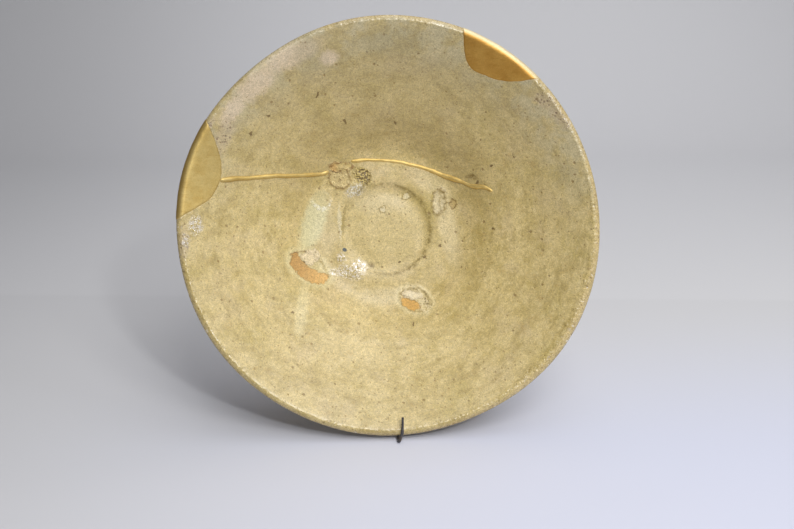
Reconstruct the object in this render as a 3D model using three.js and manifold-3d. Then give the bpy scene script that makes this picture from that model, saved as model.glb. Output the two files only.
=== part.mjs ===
// Kintsugi bowl on a bent-wire stand.
//
// A shallow wheel-thrown stoneware bowl leans back on a small stand of bent wire. The bowl has a
// turned foot ring, a sunk round in the middle of its inside, and the scars of the clay pads that
// carried another bowl in the kiln. Two pieces broken out of its rim are made up in gold lacquer,
// and a crack that runs from one of them across the inside is closed by two raised gold seams.
// The stand is three wires: a spine whose front end hooks over the rim, a cross leg and a back rest.
//
// Millimetres, +Z up. The bowl faces -Y. The origin is on the floor, in the middle of the footprint.

import * as THREE from "three";
import { mergeVertices } from "three/addons/utils/BufferGeometryUtils.js";
import Module from "manifold-3d";

const wasm = await Module();
wasm.setup();

// ---- Driving dimensions ------------------------------------------------------------------

const GAP = 0.3; // clearance between neighbouring solids
const LEAN = 16; // degrees that the mouth of the bowl leans back from upright

const MOUTH_RADIUS = 84;
const LIP_RADIUS = 2.2; // the lip is half a round, as thick as the wall
const BOWL_HEIGHT = 43.4;
const FOOT_OUTER = 28;
const FOOT_INNER = 22.5;
const FOOT_HEIGHT = 7;
const UNDERSIDE = 5.6; // height of the underside inside the foot ring
const UNDERSIDE_NIPPLE = 4.6; // the turning tool leaves the centre a little lower

const SUNK_RADIUS = 18.2; // the sunk round in the middle of the inside
const SUNK_CENTRE = { x: -0.2, y: -1.4 };
const WELL_RADIUS = 34; // where the flat ring round it turns up into the wall

// Heights of the inside above the foot, out from the middle: [radius, height].
const INSIDE = [
  [0, 12.4],
  [10, 12.3],
  [SUNK_RADIUS - 1.4, 12.2],
  [SUNK_RADIUS, 13.2],
  [SUNK_RADIUS + 1.6, 13.6],
  [27, 13.8],
  [WELL_RADIUS - 3, 14.3],
  [WELL_RADIUS, 15.6],
  [36, 17.0],
  [41, 20.9],
  [46, 24.4],
  [50, 26.3],
  [55, 28.5],
  [62, 32.4],
  [70, 37.1],
  [78, 41.7],
  [80.6, 43.05],
];

// Heights of the outside, from under the lip in to the foot ring: [radius, height].
const OUTSIDE = [
  [81.2, 38.2],
  [75, 34.2],
  [67, 29.5],
  [59, 25.0],
  [51, 20.5],
  [44, 16.0],
  [38.4, 12.1],
  [34, 9.7],
  [FOOT_OUTER + 2, FOOT_HEIGHT + 1],
];

// Out of round, as thrown and warped in the kiln: waves round the rim, sized at the mouth.
const RIM_WAVES = [
  { count: 0, size: 0.7, from: 0 },
  { count: 1, size: 0.88, from: -21 },
  { count: 2, size: 0.42, from: -15 },
  { count: 3, size: 0.44, from: -138 },
  { count: 4, size: 0.3, from: -84 },
  { count: 7, size: 0.12, from: 49 },
];
const RIM_HEIGHT_WAVES = [
  { count: 2, size: 0.5, from: 60 },
  { count: 3, size: 0.25, from: 10 },
];

// Scars of the kiln pads, on the inside: place, length, width, turn in degrees, and lift.
const SCARS = [
  { x: -19.3, y: 23.2, long: 12, wide: 10.5, turn: -40, lift: 0.9 },
  { x: -11.8, y: 19.8, long: 11, wide: 8, turn: -60, lift: 0.6 },
  { x: 22.6, y: 10.8, long: 13, wide: 7.5, turn: 80, lift: 0.7 },
  { x: 12.2, y: -30.6, long: 13.5, wide: 10, turn: -25, lift: -0.7 },
  { x: -33.6, y: -17.6, long: 19, wide: 11, turn: -45, lift: -0.8 },
];

// The break edges of the two pieces lost from the rim, anticlockwise: [radius, angle in degrees].
const LEFT_BREAK = [
  [94, 144.5],
  [83, 149.6],
  [76.8, 153.4],
  [73.1, 157.1],
  [70.6, 162.2],
  [71.8, 169.3],
  [76.3, 173.3],
  [83.9, 177.4],
  [94, 181.4],
];
const RIGHT_BREAK = [
  [95, 37.0],
  [86, 42.2],
  [81.5, 45.4],
  [78.2, 47.5],
  [75.3, 50.5],
  [73.6, 53.2],
  [72.9, 56.2],
  [72.2, 59.2],
  [72.5, 62.1],
  [75.2, 64.7],
  [80.2, 67.1],
  [95, 71.4],
];

// The crack across the inside, in two runs: places along it.
const SEAM_RADIUS = 1;
const SEAM_SUNK = 0.45; // how far the middle of the seam lies below the glaze
const LEFT_SEAM = [
  [-66.2, 19.3],
  [-62, 19.9],
  [-55.7, 20.4],
  [-45.8, 21.4],
  [-35.7, 21.8],
  [-28, 22.7],
  [-24, 23.7],
];
const RIGHT_SEAM = [
  [-15.1, 28.2],
  [-8, 28.6],
  [-1.1, 28.3],
  [5.7, 27.5],
  [12.5, 25.9],
  [19.3, 23.7],
  [26, 21],
  [32.5, 18.4],
  [36, 16.6],
  [41.2, 15.8],
  [44.5, 13.8],
];

const WIRE = 1.3; // thickness of the stand's wire
const HOOK_RISE = 7; // how far the hook stands up in front of the rim
const HOOK_LEAN = 1.6; // how far its tip leans to one side
const HOOK_FROM_MIDDLE = 2.9; // the bowl sits a little to one side of the hook
const REACH = 92; // length of the spine on the floor
const LEG_PLACE = 56; // distance of the cross leg behind the hook
const LEG_SPREAD = 42;
const REST_HEIGHT = 20; // height of the back rest above the middle of the foot ring
const REST_SPREAD = 27;

const SEGMENTS = 84; // round the bowl
const SECTION_SIDES = 8; // round a wire or a seam

// ---- Materials ---------------------------------------------------------------------------

const glaze = new THREE.MeshStandardMaterial({ color: 0xc4ae7b, roughness: 0.35, metalness: 0 });
const gold = new THREE.MeshStandardMaterial({ color: 0xc79a3c, roughness: 0.32, metalness: 1 });
const steel = new THREE.MeshStandardMaterial({ color: 0x34332f, roughness: 0.5, metalness: 0.7 });

// ---- Helpers -----------------------------------------------------------------------------

const radians = THREE.MathUtils.degToRad;

/** A closed three.js geometry as a manifold-3d solid. */
function solidOf(geometry) {
  const bare = geometry.clone();
  bare.deleteAttribute("normal");
  bare.deleteAttribute("uv");
  const merged = mergeVertices(bare, 1e-4);
  return new wasm.Manifold(
    new wasm.Mesh({
      numProp: 3,
      vertProperties: new Float32Array(merged.attributes.position.array),
      triVerts: new Uint32Array(merged.index.array),
    }),
  );
}

/** A manifold-3d solid as a three.js geometry. */
function geometryOf(solid) {
  const mesh = solid.getMesh();
  const geometry = new THREE.BufferGeometry();
  geometry.setAttribute("position", new THREE.BufferAttribute(mesh.vertProperties, 3));
  geometry.setIndex(new THREE.BufferAttribute(mesh.triVerts, 1));
  geometry.computeVertexNormals();
  return geometry;
}

function namedMesh(name, geometry, material) {
  const mesh = new THREE.Mesh(geometry, material);
  mesh.name = name;
  return mesh;
}

/** Sum of a list of waves at an angle, in degrees round the bowl. */
function waves(list, angle) {
  return list.reduce((sum, w) => sum + w.size * Math.cos(radians(w.count * angle - w.from)), 0);
}

/** An even section with flats below, above and at both sides, its flats `radius` from the middle. */
function roundSection(radius) {
  const corner = radius / Math.cos(Math.PI / SECTION_SIDES);
  const points = Array.from({ length: SECTION_SIDES }, (_, i) => {
    const turn = ((2 * i + 1) * Math.PI) / SECTION_SIDES;
    return new THREE.Vector2(corner * Math.cos(turn), corner * Math.sin(turn));
  });
  return new THREE.Shape(points);
}

/** A tube of even section through a row of points, one ring at each, with closed ends. */
function tube(points, radius) {
  const path = new THREE.CatmullRomCurve3(points);
  path.getPointAt = path.getPoint;
  path.getTangentAt = path.getTangent;
  return new THREE.ExtrudeGeometry(roundSection(radius), {
    steps: points.length - 1,
    extrudePath: path,
  });
}

// ---- The form of the bowl, in its own frame: foot on z = 0, mouth up ------------------------

const insideCurve = new THREE.CubicInterpolant(
  INSIDE.map((point) => point[0]),
  INSIDE.map((point) => point[1]),
  1,
);

/** Height of the inside at a radius, before the bowl is warped. */
function insideHeight(radius) {
  return insideCurve.evaluate(Math.min(radius, INSIDE.at(-1)[0]))[0];
}

/** How far the pad scars lift the inside at a place. */
function scarLift(x, y) {
  return SCARS.reduce((sum, scar) => {
    const turn = radians(scar.turn);
    const dx = x - scar.x;
    const dy = y - scar.y;
    const along = (dx * Math.cos(turn) + dy * Math.sin(turn)) / (scar.long / 2);
    const across = (dy * Math.cos(turn) - dx * Math.sin(turn)) / (scar.wide / 2);
    return sum + scar.lift * (1 - THREE.MathUtils.smoothstep(Math.hypot(along, across), 0.5, 1.1));
  }, 0);
}

/** Moves a point of the true round form to where the warped bowl has it. */
function warp(point) {
  const share = Math.hypot(point.x, point.y) / MOUTH_RADIUS;
  const angle = THREE.MathUtils.radToDeg(Math.atan2(point.y, point.x));
  const grow = 1 + (waves(RIM_WAVES, angle) / MOUTH_RADIUS) * share;
  return point.set(
    point.x * grow,
    point.y * grow,
    point.z + waves(RIM_HEIGHT_WAVES, angle) * share ** 4,
  );
}

/** Gives a point of the inside its sunk round a little to one side, and the scars of the pads. */
function mark(point) {
  const radius = Math.hypot(point.x, point.y);
  const near = 1 - THREE.MathUtils.smoothstep(radius, SUNK_RADIUS + 2, WELL_RADIUS);
  point.x += SUNK_CENTRE.x * near;
  point.y += SUNK_CENTRE.y * near;
  point.z += scarLift(point.x, point.y);
  return point;
}

/** A point on the warped inside, sunk into it by `depth`. */
function onInside(x, y, depth) {
  return warp(new THREE.Vector3(x, y, insideHeight(Math.hypot(x, y)) - depth));
}

/** Rows of the inside, from the middle out to the lip. */
function insideRows() {
  const middle = [0, 8, 14, SUNK_RADIUS - 1.4, SUNK_RADIUS - 0.5, SUNK_RADIUS + 0.4];
  const ring = Array.from({ length: 8 }, (_, i) => SUNK_RADIUS + 1.8 + 2.4 * i);
  const wall = [40.5, 44.5, 49, 54, 60, 67, 74, INSIDE.at(-1)[0]];
  return [...middle, ...ring, ...wall].map((r) => new THREE.Vector2(r, insideHeight(r)));
}

/** The lip: half a round from the end of the inside over to the outside. */
function lipRows() {
  const centre = new THREE.Vector2(MOUTH_RADIUS - LIP_RADIUS, BOWL_HEIGHT - LIP_RADIUS);
  return [118, 88, 56, 24, -8, -40].map((turn) =>
    new THREE.Vector2(Math.cos(radians(turn)), Math.sin(radians(turn)))
      .multiplyScalar(LIP_RADIUS)
      .add(centre),
  );
}

/** The foot ring and the turned underside, from the wall in to the middle. */
function footRows() {
  return [
    [FOOT_OUTER + 0.8, FOOT_HEIGHT - 0.6],
    [FOOT_OUTER, 1],
    [FOOT_OUTER - 0.8, 0],
    [FOOT_INNER + 0.6, 0],
    [FOOT_INNER, 0.8],
    [FOOT_INNER - 1.2, UNDERSIDE - 0.8],
    [FOOT_INNER - 3.5, UNDERSIDE],
    [8, UNDERSIDE],
    [0, UNDERSIDE_NIPPLE],
  ].map(([r, z]) => new THREE.Vector2(r, z));
}

/** The whole bowl as thrown, before it was broken. */
function wholeBowl() {
  const inside = insideRows();
  const outside = OUTSIDE.map(([r, z]) => new THREE.Vector2(r, z));
  const profile = [...inside, ...lipRows(), ...outside, ...footRows()];
  const geometry = new THREE.LatheGeometry(profile.reverse(), SEGMENTS).rotateX(Math.PI / 2);
  const place = geometry.attributes.position;
  const point = new THREE.Vector3();
  for (let i = 0; i < place.count; i += 1) {
    warp(point.fromBufferAttribute(place, i));
    if (i % profile.length >= profile.length - inside.length) mark(point);
    place.setXYZ(i, point.x, point.y, point.z);
  }
  return solidOf(geometry);
}

/** A block that stands over a lost piece of the rim, its break edge moved outwards by `shrink`. */
function breakBlock(edge, shrink) {
  const curve = new THREE.SplineCurve(
    edge.map(([r, a]) => new THREE.Vector2(r * Math.cos(radians(a)), r * Math.sin(radians(a)))),
  );
  const steps = 24;
  const points = Array.from({ length: steps + 1 }, (_, i) => {
    const along = curve.getTangentAt(i / steps);
    const outwards = new THREE.Vector2(along.y, -along.x);
    return curve.getPointAt(i / steps).addScaledVector(outwards, shrink);
  });
  const block = new THREE.ExtrudeGeometry(new THREE.Shape(points), {
    depth: 2 * BOWL_HEIGHT,
    bevelEnabled: false,
  });
  return solidOf(block.translate(0, 0, -BOWL_HEIGHT / 2));
}

/** A gold seam along the crack, or with `extra` round it the groove that it lies in. */
function seam(route, extra) {
  const line = new THREE.SplineCurve(route.map(([x, y]) => new THREE.Vector2(x, y)));
  const points = line.getSpacedPoints(Math.round(line.getLength() / 2.6));
  return solidOf(tube(points.map((p) => onInside(p.x, p.y, SEAM_SUNK)), SEAM_RADIUS + extra));
}

// ---- The bowl and its gold ----------------------------------------------------------------

const whole = wholeBowl();
const cuts = [
  breakBlock(LEFT_BREAK, 0),
  breakBlock(RIGHT_BREAK, 0),
  seam(LEFT_SEAM, GAP),
  seam(RIGHT_SEAM, GAP),
];
const broken = cuts.reduce((rest, cut) => rest.subtract(cut), whole);

const bowl = new THREE.Group();
bowl.add(
  namedMesh("bowl", geometryOf(broken), glaze),
  namedMesh("gold_fill_left", geometryOf(whole.intersect(breakBlock(LEFT_BREAK, GAP))), gold),
  namedMesh("gold_fill_right", geometryOf(whole.intersect(breakBlock(RIGHT_BREAK, GAP))), gold),
  namedMesh("gold_seam_left", geometryOf(seam(LEFT_SEAM, 0)), gold),
  namedMesh("gold_seam_right", geometryOf(seam(RIGHT_SEAM, 0)), gold),
);

// The bowl tips forwards off its foot, leans back by LEAN, and its rim stands on the spine.
bowl.rotation.x = radians(90 - LEAN);
bowl.updateMatrixWorld(true);
const tipped = new THREE.Box3().setFromObject(bowl, true);
bowl.position.set(-HOOK_FROM_MIDDLE, 0, WIRE + GAP - tipped.min.z);
bowl.updateMatrixWorld(true);

/** A point of the bowl's own frame, in the stand's. */
const fromBowl = (x, y, z) => new THREE.Vector3(x, y, z).applyMatrix4(bowl.matrixWorld);

// ---- The stand ----------------------------------------------------------------------------

/** Points along a wire through corners, each rounded with its own bend: [point, bend]. */
function bentLine(corners) {
  const points = [corners[0][0]];
  corners.slice(1, -1).forEach(([corner, bend], i) => {
    const before = corners[i][0].clone().sub(corner).setLength(bend).add(corner);
    const after = corners[i + 2][0].clone().sub(corner).setLength(bend).add(corner);
    points.push(before.clone().lerp(points.at(-1), 0.5));
    points.push(...new THREE.QuadraticBezierCurve3(before, corner, after).getPoints(6));
  });
  const last = corners.at(-1)[0];
  points.push(points.at(-1).clone().lerp(last, 0.5), last);
  return points;
}

// The hook leans as the bowl does, and stands just clear of the lip.
const lipCentre = fromBowl(HOOK_FROM_MIDDLE, LIP_RADIUS - MOUTH_RADIUS, BOWL_HEIGHT - LIP_RADIUS);
const lipToHook = LIP_RADIUS + 2 * GAP + WIRE / 2;
const lipAboveRail = lipCentre.z - WIRE / 2;
const hookLine =
  lipCentre.y - lipToHook / Math.cos(radians(LEAN)) - lipAboveRail * Math.tan(radians(LEAN));
const restPlace = fromBowl(HOOK_FROM_MIDDLE, REST_HEIGHT, -GAP - WIRE / 2);
const spinePlace = fromBowl(HOOK_FROM_MIDDLE, REST_HEIGHT, -2 * GAP - 1.5 * WIRE);

/** The spine: up behind the foot ring, along the floor and up in front of the lip as a hook. */
function spine() {
  const floor = WIRE / 2;
  const rear = new THREE.Vector3(0, hookLine + REACH, floor);
  const top = spinePlace.clone().add(spinePlace.clone().sub(rear).setLength(1.5 * WIRE));
  const front = new THREE.Vector3(0, hookLine, floor);
  const tip = new THREE.Vector3(
    HOOK_LEAN,
    hookLine + HOOK_RISE * Math.tan(radians(LEAN)),
    floor + WIRE + HOOK_RISE,
  );
  return tube(bentLine([[top], [rear, 7], [front, 3], [tip]]), WIRE / 2);
}

/** A bar across the stand, from one end through its middle to the other: [share, up, back]. */
function crossBar(middle, spread, half) {
  const side = (sign) =>
    half.map(([share, up, back]) =>
      middle.clone().add(new THREE.Vector3(sign * share * spread, back, up)),
    );
  const line = new THREE.CatmullRomCurve3([...side(-1), ...side(1).reverse()]);
  return tube(line.getSpacedPoints(14), WIRE / 2);
}

const legPlace = new THREE.Vector3(0, hookLine + LEG_PLACE, WIRE / 2);
const legLine = [
  [1, 0, 0],
  [0.8, WIRE / 2, 0],
  [0.4, WIRE + GAP, 0],
];
const restLine = [
  [1, 0, 2.4],
  [0.8, 0, 0.4],
  [0.4, 0, 0],
];

const stand = new THREE.Group();
stand.add(
  namedMesh("stand_spine", spine(), steel),
  namedMesh("stand_cross_leg", crossBar(legPlace, LEG_SPREAD, legLine), steel),
  namedMesh("stand_back_rest", crossBar(restPlace, REST_SPREAD, restLine), steel),
);

// ---- Everything together, with the origin in the middle of its footprint ----------------------

const group = new THREE.Group();
group.add(bowl, stand);
group.updateMatrixWorld(true);
const footprint = new THREE.Box3().setFromObject(group, true);
const middle = footprint.getCenter(new THREE.Vector3());
group.position.set(-middle.x, -middle.y, -footprint.min.z);

export default group;
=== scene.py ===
"""Looks of the kintsugi bowl on its bent-wire stand.

The bowl is spun from its profile, then worked over: throwing rings, the sunk round in its middle,
the scars of the kiln pads, pits in the glaze. Its two broken-out places are cut away and filled in
gold, and the crack between them carries two raised gold seams. The stand is drawn wire with welds.

Everything about the bowl is worked out in millimetres in the bowl's own frame, with the foot on
z = 0 and the mouth up, and is then leaned into its place on the stand, in metres.
"""

import math

import bpy
import numpy as np
from mathutils import Matrix, Vector, noise


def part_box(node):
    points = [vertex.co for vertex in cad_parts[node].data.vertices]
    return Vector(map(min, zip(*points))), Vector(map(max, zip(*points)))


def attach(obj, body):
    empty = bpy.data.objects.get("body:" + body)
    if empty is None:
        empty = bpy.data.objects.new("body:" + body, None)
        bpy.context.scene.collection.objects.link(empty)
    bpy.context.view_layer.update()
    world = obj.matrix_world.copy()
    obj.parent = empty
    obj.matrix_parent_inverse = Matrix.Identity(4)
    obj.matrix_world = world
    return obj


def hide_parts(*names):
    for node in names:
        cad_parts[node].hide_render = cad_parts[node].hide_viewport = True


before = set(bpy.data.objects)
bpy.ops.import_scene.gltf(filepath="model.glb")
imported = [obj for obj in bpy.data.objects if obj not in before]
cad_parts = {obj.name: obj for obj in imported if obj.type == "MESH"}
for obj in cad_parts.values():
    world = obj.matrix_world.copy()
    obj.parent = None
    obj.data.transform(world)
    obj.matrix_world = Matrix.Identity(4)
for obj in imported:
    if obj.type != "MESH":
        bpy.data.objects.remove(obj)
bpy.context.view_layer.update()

# ---- Sizes, in millimetres and degrees ----------------------------------------------------

MM = 0.001

LEAN = 16.0
MOUTH = 84.0
LIP = 2.2
HEIGHT = 43.4
FOOT_OUTER = 28.0
FOOT_INNER = 22.5
FOOT_HEIGHT = 7.0
UNDERSIDE = 5.6
SUNK = 19.3
SUNK_AT = (-0.3, -1.2)
WELL = 34.0
RIDGE = 59.0

INSIDE = [
    (0, 12.8), (10, 12.75), (SUNK - 1.2, 12.75), (SUNK, 13.2), (SUNK + 1.2, 13.45), (27, 13.8),
    (WELL - 3, 14.4), (WELL, 15.7), (36, 17.1), (41, 20.8), (46, 24.2), (50, 26.3), (57.5, 29.9),
    (60, 31.2), (66, 34.7), (73, 38.9), (78, 41.75), (80.6, 43.05), (MOUTH, 44.0),
]
OUTSIDE = [
    (FOOT_OUTER + 2, FOOT_HEIGHT + 1), (34, 9.7), (38.4, 12.1), (44, 16.0), (51, 20.5),
    (59, 25.0), (67, 29.5), (75, 34.2), (81.2, 38.2), (MOUTH, 39.9),
]

# Waves round the rim: how many, how deep, from which angle.
RIM_WAVES = [
    (0, 0.7, 0), (1, 0.88, -21), (2, 0.42, -15), (3, 0.44, -138), (4, 0.3, -84), (5, 0.1, 167),
    (6, 0.16, -155), (7, 0.12, 49),
]
RIM_HEIGHT_WAVES = [(2, 0.5, 60), (3, 0.25, 10)]

# Break edges, anticlockwise: radius and angle.
LEFT_BREAK = [
    (94, 144.5), (83, 149.6), (76.8, 153.4), (73.1, 157.1), (70.6, 162.2), (71.8, 169.3),
    (76.3, 173.3), (83.9, 177.4), (94, 181.4),
]
RIGHT_BREAK = [
    (95, 37.0), (86, 42.2), (81.5, 45.4), (78.2, 47.5), (75.3, 50.5), (73.6, 53.2), (72.9, 56.2),
    (72.2, 59.2), (72.5, 62.1), (75.2, 64.7), (80.2, 67.1), (95, 71.4),
]

# The crack across the inside: places along its two seams, and how the brush swelled on its way.
LEFT_SEAM = [
    (-67.4, 19.1), (-62, 19.9), (-55.7, 20.4), (-45.8, 21.4), (-35.7, 21.8), (-28, 22.7),
    (-24, 23.7),
]
RIGHT_SEAM = [
    (-15.1, 28.2), (-8, 28.6), (-1.1, 28.3), (5.7, 27.5), (12.5, 25.9), (19.3, 23.7), (26, 21),
    (32.5, 18.4), (36, 16.6), (41.2, 15.8), (44.5, 13.8),
]
LEFT_SWELL = [(0, 1.1), (0.35, 1.05), (0.7, 0.92), (1, 1.0)]
RIGHT_SWELL = [
    (0, 0.8), (0.15, 0.85), (0.45, 0.86), (0.58, 1.0), (0.7, 1.22), (0.8, 0.9), (0.92, 1.1), (1, 0.7)
]
SEAM_RADIUS = 1.0
SEAM_SUNK = 0.45
SEAM_STEP = 0.5
SEAM_TAPER = 0.9

# The gold of a fill laps over the break edge by this much.
FILL_LAP = 0.15
FILL_VOXEL = 0.34

# The inside takes three glazes: on the wall, and in the well above and below this line.
WELL_SPLIT = -4.0
# A face whose points lie less than this share of the way to the inside is an outside face.
OUTSIDE_SHARE = 0.12

# Scars of the kiln pads: place, length and width, turn, height of the floor, of the edge, roughness.
SCARS = {
    "upper": dict(at=(-19.2, 21.4), size=(9.8, 9.0), turn=-20, floor=0.15, edge=0.25, rough=0.2),
    "pitted": dict(at=(-10.6, 21.2), size=(9, 8.2), turn=-50, floor=-0.1, edge=0.15, rough=0.4),
    "right": dict(at=(22.8, 10.4), size=(10.5, 6.0), turn=82, floor=0.0, edge=0.3, rough=0.1),
    "lower": dict(at=(12.1, -31.2), size=(13, 10.2), turn=-16, floor=-0.4, edge=0.35, rough=0.15),
    "left": dict(at=(-32.6, -16.8), size=(18.6, 10.8), turn=-38, floor=-0.5, edge=0.2, rough=0.15),
    "faint": dict(at=(-27.2, 11.2), size=(7, 6.6), turn=30, floor=0.0, edge=0.1, rough=0.05),
}

GAP = 0.3
WIRE = 1.3
HOOK_TIP = 0.95
HOOK_RISE = 8.4
HOOK_LEAN = 1.6
HOOK_BEND = 3.4
HOOK_FROM_MIDDLE = 2.9
REACH = 92.0
LEG_PLACE = 56.0
LEG_SPREAD = 42.0
REST_HEIGHT = 20.0
REST_SPREAD = 27.0

# ---- Small tools --------------------------------------------------------------------------


def through(points, at):
    """Smooth curve through a row of points, read at the given places."""
    x, y = np.array(points, float).T
    slope = np.gradient(y, x)
    i = np.clip(np.searchsorted(x, at) - 1, 0, len(x) - 2)
    run = x[i + 1] - x[i]
    u = (at - x[i]) / run
    start = y[i] * (1 + 2 * u) * (1 - u) ** 2 + slope[i] * run * u * (1 - u) ** 2
    end = y[i + 1] * u**2 * (3 - 2 * u) + slope[i + 1] * run * u**2 * (u - 1)
    return start + end


def smoothstep(value, low, high):
    """Goes smoothly from 0 to 1 while the value goes from low to high."""
    u = np.clip((value - low) / (high - low), 0, 1)
    return u * u * (3 - 2 * u)


def lumps(points, size, seed=0.0):
    """Smooth noise from -1 to 1 at each point, its lumps about `size` across."""
    shift = Vector((seed * 7.3, seed * 3.1, seed * 5.7))
    return np.array([noise.noise(Vector(p) / size + shift) for p in points])


def waves(rows, angle):
    """The sum of a row of waves at an angle."""
    return sum(size * np.cos(np.radians(count * angle - start)) for count, size, start in rows)


def places_of(obj):
    """A mesh's vertex places as an array of rows, in its own units."""
    flat = np.empty(len(obj.data.vertices) * 3)
    obj.data.vertices.foreach_get("co", flat)
    return flat.reshape(-1, 3)


def set_places(obj, places):
    """Puts a mesh's vertices at the given places."""
    obj.data.vertices.foreach_set("co", np.ascontiguousarray(places).ravel())
    obj.data.update()


def select_only(obj):
    """Leaves one object selected and active, in object mode."""
    if bpy.context.mode != "OBJECT":
        bpy.ops.object.mode_set(mode="OBJECT")
    bpy.ops.object.select_all(action="DESELECT")
    obj.select_set(True)
    bpy.context.view_layer.objects.active = obj


def new_piece(name, vertices, edges=(), faces=()):
    """An object made of the given points, edges and faces."""
    mesh = bpy.data.meshes.new(name)
    mesh.from_pydata([tuple(v) for v in vertices], list(edges), list(faces))
    obj = bpy.data.objects.new(name, mesh)
    bpy.context.scene.collection.objects.link(obj)
    select_only(obj)
    return obj


def in_edit_mode(obj, *steps):
    """Runs edit-mode steps on all of an object's mesh."""
    select_only(obj)
    bpy.ops.object.mode_set(mode="EDIT")
    bpy.ops.mesh.select_all(action="SELECT")
    for step in steps:
        step()
    bpy.ops.object.mode_set(mode="OBJECT")


def apply_modifier(obj, kind, **settings):
    """Adds one modifier and applies it."""
    select_only(obj)
    modifier = obj.modifiers.new(kind.title(), kind)
    for key, value in settings.items():
        setattr(modifier, key, value)
    bpy.ops.object.modifier_apply(modifier=modifier.name)


def copy_of(obj, name):
    """A copy of an object, with its own mesh."""
    twin = obj.copy()
    twin.data = obj.data.copy()
    twin.name = name
    bpy.context.scene.collection.objects.link(twin)
    return twin


def smooth_shade(obj):
    """Shades all of an object smooth."""
    select_only(obj)
    bpy.ops.object.shade_smooth()


# ---- The bowl's form ----------------------------------------------------------------------


def profile():
    """The bowl's profile, from the middle of its inside over the lip to the middle underneath."""
    middle = np.linspace(0, 14, 13, endpoint=False)
    ring = np.arange(14, 41, 0.6)
    wall = np.arange(41.2, 80.7, 0.88)
    inside = [(r, through(INSIDE, r)) for r in np.concatenate([middle, ring, wall])]
    turns = np.radians(np.linspace(118, -40, 16))
    lip = [(MOUTH - LIP + LIP * math.cos(a), HEIGHT - LIP + LIP * math.sin(a)) for a in turns]
    outside = [(r, through(OUTSIDE, r)) for r in np.linspace(82, FOOT_OUTER + 2, 34)]
    foot = [
        (FOOT_OUTER + 1.1, FOOT_HEIGHT + 0.2), (FOOT_OUTER + 0.8, FOOT_HEIGHT - 0.8),
        (FOOT_OUTER + 0.5, 4.4), (FOOT_OUTER + 0.2, 2.4), (FOOT_OUTER, 1.0),
        (FOOT_OUTER - 0.3, 0.3), (FOOT_OUTER - 0.9, 0), (FOOT_OUTER - 2.6, 0),
        (FOOT_INNER + 0.7, 0), (FOOT_INNER + 0.1, 0.4), (FOOT_INNER - 0.3, 1.6),
        (FOOT_INNER - 0.8, 3.4), (FOOT_INNER - 1.3, UNDERSIDE - 0.9), (FOOT_INNER - 2.2, 5.3),
        (FOOT_INNER - 3.6, UNDERSIDE), (15, 5.75), (11, 5.6), (7, 5.4), (3, 4.95), (0, 4.7),
    ]
    return inside + lip + outside + foot


def spun_bowl(turns=512):
    """The bowl as it left the wheel, whole and true, in its own frame."""
    rows = [(r, 0, z) for r, z in profile()]
    bowl = new_piece("bowl_glazed", rows, edges=[(i, i + 1) for i in range(len(rows) - 1)])
    in_edit_mode(
        bowl,
        lambda: bpy.ops.mesh.spin(steps=turns, angle=math.tau, center=(0, 0, 0), axis=(0, 0, 1)),
        lambda: bpy.ops.mesh.select_all(action="SELECT"),
        lambda: bpy.ops.mesh.remove_doubles(threshold=0.004),
        lambda: bpy.ops.mesh.normals_make_consistent(inside=False),
    )
    return bowl


def inside_share(places):
    """1 on the inside of the bowl, 0 on the outside, and between them over the lip."""
    radius = np.hypot(places[:, 0], places[:, 1])
    at = np.clip(radius, 0, MOUTH)
    top = through(INSIDE, at)
    under = np.where(at > FOOT_OUTER + 2, through(OUTSIDE, at), UNDERSIDE)
    return np.clip((places[:, 2] - under) / (top - under), 0, 1)


def warp(places):
    """Moves points of the true round form to where the warped bowl has them."""
    share = np.hypot(places[:, 0], places[:, 1]) / MOUTH
    angle = np.degrees(np.arctan2(places[:, 1], places[:, 0]))
    grow = 1 + waves(RIM_WAVES, angle) / MOUTH * share
    out = places.copy()
    out[:, :2] *= grow[:, None]
    out[:, 2] += waves(RIM_HEIGHT_WAVES, angle) * share**4
    return out


def scar_reach(x, y, scar):
    """How far out of a scar's middle a place lies: 1 at its ragged edge."""
    turn = math.radians(scar["turn"])
    dx, dy = x - scar["at"][0], y - scar["at"][1]
    along = (dx * math.cos(turn) + dy * math.sin(turn)) / (scar["size"][0] / 2)
    across = (dy * math.cos(turn) - dx * math.sin(turn)) / (scar["size"][1] / 2)
    return np.hypot(along, across)


def scar_relief(places):
    """Height that the scars of the kiln pads give the inside."""
    x, y = places[:, 0], places[:, 1]
    height = np.zeros(len(places))
    near = np.hypot(x, y) < 50
    spots = places[near]
    ragged = lumps(spots, 2.6, 1) * 0.16 + lumps(spots, 1.1, 2) * 0.07
    crumbs = lumps(spots, 0.9, 3)
    lift = np.zeros(len(spots))
    for scar in SCARS.values():
        reach = scar_reach(spots[:, 0], spots[:, 1], scar) + ragged
        within = 1 - smoothstep(reach, 0.86, 1.0)
        edge = np.exp(-(((reach - 1.0) / 0.1) ** 2))
        lift += within * (scar["floor"] + scar["rough"] * crumbs) + edge * scar["edge"]
    height[near] = lift
    return height


def thrown_relief(places):
    """Throwing rings, and the slow unevenness of a thick glaze."""
    radius = np.hypot(places[:, 0], places[:, 1])
    angle = np.arctan2(places[:, 1], places[:, 0])
    rings = np.sin(math.tau * (radius / 6.4 + angle / math.tau))
    rings *= 0.03 * smoothstep(radius, 20, 40) * (1 - smoothstep(radius, 74, 82))
    return rings + lumps(places, 14, 4) * 0.09 + lumps(places, 4.2, 5) * 0.02


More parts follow.
